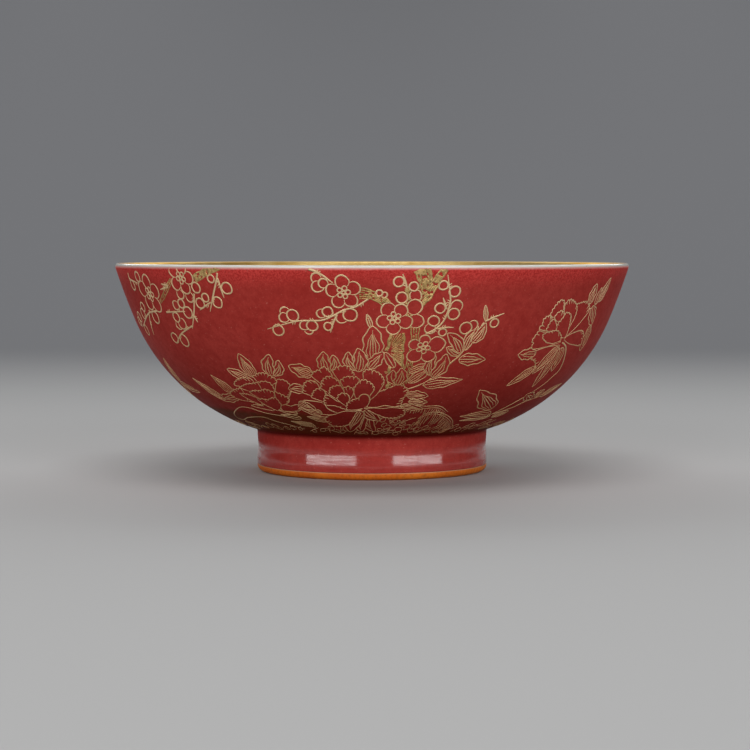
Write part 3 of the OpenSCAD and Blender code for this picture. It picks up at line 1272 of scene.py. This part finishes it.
def gild(name, lines, finish):
    """Builds the lines of one kind as ribbons with a ridge, on the front and again behind."""
    corners = []
    faces = []
    for route, widths, closed in lines:
        for half_turn in (0, 180):
            first = len(corners)
            count = len(route)
            spots = [on_wall(around + half_turn, down) for around, down in route]
            for i, (point, out) in enumerate(spots):
                back = spots[i - 1][0] if closed or i else point
                ahead = spots[(i + 1) % count][0] if closed or i + 1 < count else point
                side = out.cross(ahead - back).normalized() * widths[i] * mm / 2
                low = out * line_sunk * mm
                corners.append(point - side - low)
                corners.append(point + out * line_proud * mm)
                corners.append(point + side - low)
                corners.append(point - 2 * low)
            for i in range(count if closed else count - 1):
                here = first + 4 * i
                there = first + 4 * ((i + 1) % count)
                for k in range(4):
                    m = (k + 1) % 4
                    faces.append((here + k, there + k, there + m, here + m))
            if not closed:
                faces.append(tuple(first + k for k in range(4)))
                faces.append(tuple(first + 4 * (count - 1) + k for k in (3, 2, 1, 0)))
    mesh = bpy.data.meshes.new(name)
    mesh.from_pydata(corners, [], faces)
    piece = bpy.data.objects.new(name, mesh)
    bpy.context.collection.objects.link(piece)
    bpy.ops.object.select_all(action="DESELECT")
    piece.select_set(True)
    bpy.context.view_layer.objects.active = piece
    bpy.ops.object.mode_set(mode="EDIT")
    bpy.ops.mesh.select_all(action="SELECT")
    bpy.ops.mesh.normals_make_consistent(inside=False)
    bpy.ops.object.mode_set(mode="OBJECT")
    bpy.ops.object.shade_smooth()
    dress(piece, finish, "gold")


lit_higher_from = 36
lit_higher_to = 64
painted_gold, shader, place, tint, grain = gold(
    "painted_gold", colour(246, 206, 152), colour(208, 165, 110)
)
# A painted highlight: the gold is paler and less metallic higher up the wall, where more light falls
# on it.
lit_higher = measured(place, "Z").ease(lit_higher_from, lit_higher_to)
(0.6 * lit_higher).blend(tint, colour(255, 224, 176)).feed(shader, "Base Color")
(0.35 - 0.15 * grain - 0.12 * lit_higher).feed(shader, "Metallic")
bark_gold, shader, place, tint, grain = gold(
    "bark_gold", colour(252, 214, 144), colour(190, 150, 86)
)
bark = place.noise(1100.0, 3.0, 0.6).ease(0.42, 0.62)
(0.6 * bark).blend(tint, colour(140, 104, 50)).feed(shader, "Base Color")
(0.35 - 0.15 * grain).feed(shader, "Metallic")
for name, lines in strokes.items():
    gild(name, lines, bark_gold if name == "gold_boughs" else painted_gold)

# Studio
# A pale floor that sweeps up into a grey backdrop and throws little light back up at the bowl.
# A tall softbox stands on each side in front, with a low one beside it further round. One hangs
# above, a little to the front, and two stand behind.
floor_half = 30.0
sweep_back = 2.0
sweep_high = 2.2
sweep_round = 1.0
corner_high = 0.01
grey_from = 0.0
grey_to = 1.0
bpy.ops.object.select_all(action="DESELECT")
bpy.ops.mesh.primitive_plane_add(size=2 * floor_half, location=(0, sweep_back - floor_half, 0))
bpy.ops.object.transform_apply(location=True, rotation=False, scale=False)
backdrop = bpy.context.object
backdrop.name = "floor_sweep"
bpy.ops.object.mode_set(mode="EDIT")
bpy.ops.mesh.select_all(action="DESELECT")
bpy.ops.object.mode_set(mode="OBJECT")
for edge in backdrop.data.edges:
    edge.select = all(backdrop.data.vertices[v].co.y > 0 for v in edge.vertices)
bpy.ops.object.mode_set(mode="EDIT")
bpy.ops.mesh.select_mode(type="EDGE")
bpy.ops.mesh.extrude_region_move(TRANSFORM_OT_translate={"value": (0, 0, sweep_high)})
bpy.ops.object.mode_set(mode="OBJECT")
for edge in backdrop.data.edges:
    ends = [backdrop.data.vertices[v].co for v in edge.vertices]
    edge.select = all(end.y > 0 and end.z < corner_high for end in ends)
bpy.ops.object.mode_set(mode="EDIT")
bpy.ops.mesh.bevel(offset=sweep_round, segments=16)
bpy.ops.object.mode_set(mode="OBJECT")
bpy.ops.object.shade_smooth()
sweep_finish, shader, place = finish_of("floor_sweep")
rays = place.node("ShaderNodeLightPath").socket.node
seen = Shade(place.tree, rays.outputs["Is Camera Ray"])
for kind in ("Is Glossy Ray", "Is Transmission Ray"):
    seen = seen.maths("MAXIMUM", seen, Shade(place.tree, rays.outputs[kind]))
behind = place.node("ShaderNodeSeparateXYZ", inputs={0: place}, output="Y")
pale = behind.ease(grey_from, grey_to).blend(colour(188, 188, 188), colour(110, 111, 114))
seen.blend(colour(88, 88, 88), pale).feed(shader, "Base Color")
shader.inputs["Roughness"].default_value = 0.9
shader.inputs["Specular IOR Level"].default_value = 0.1
backdrop.data.materials.append(sweep_finish)


def softbox(around, low_edge, distance, wide, tall, radiance):
    """A rectangular lamp that faces the bowl from a bearing round from the front."""
    turn = math.radians(around)
    spot = Vector((math.sin(turn) * distance, -math.cos(turn) * distance, low_edge + tall / 2))
    bpy.ops.object.light_add(type="AREA", location=spot)
    lamp = bpy.context.object
    lamp.data.shape = "RECTANGLE"
    lamp.data.size = wide
    lamp.data.size_y = tall
    lamp.data.energy = radiance * math.pi * wide * tall
    aim = Vector((0, 0, bowl_h * mm / 2)) - spot
    lamp.rotation_euler = aim.to_track_quat("-Z", "Y").to_euler()


front_edge = 0.02
front_away = 1.4
front_wide = 0.65
front_tall = 0.8
front_low = 0.14
left_light = 4.2
right_light = 4
other_light = 2.6
for around, tall, radiance in [
    (-28, front_tall, left_light),
    (-54, front_low, left_light),
    (33, front_tall, right_light),
    (59, front_low, right_light),
]:
    softbox(around, front_edge, front_away, front_wide, tall, radiance)
softbox(0, low_edge=1.6, distance=0.5, wide=1.6, tall=1.2, radiance=other_light)
for around in (-156, 156):
    softbox(around, low_edge=0.45, distance=1.6, wide=1.2, tall=1.0, radiance=other_light)

room_light = 0.08
world = bpy.data.worlds.new("studio")
world.use_nodes = True
world.node_tree.nodes["Background"].inputs["Color"].default_value = (1, 1, 1, 1)
world.node_tree.nodes["Background"].inputs["Strength"].default_value = room_light
bpy.context.scene.world = world
bpy.context.scene.view_settings.view_transform = "Standard"

# Camera
# A long lens where the photograph was taken from: in front of the bowl, a little above its lip and
# tipped down at it. The bowl stands a few pixels to the left of the picture's middle.
camera_away = 0.8
camera_high = 0.0793
camera_tip = 3.28
lens_mm = 108.7
picture_px = 750
left_px = 3
bpy.ops.object.camera_add(
    location=(0, -camera_away, camera_high), rotation=(math.radians(90 - camera_tip), 0, 0)
)
camera = bpy.context.object
camera.data.lens = lens_mm
camera.data.shift_x = left_px / picture_px
bpy.context.scene.camera = camera
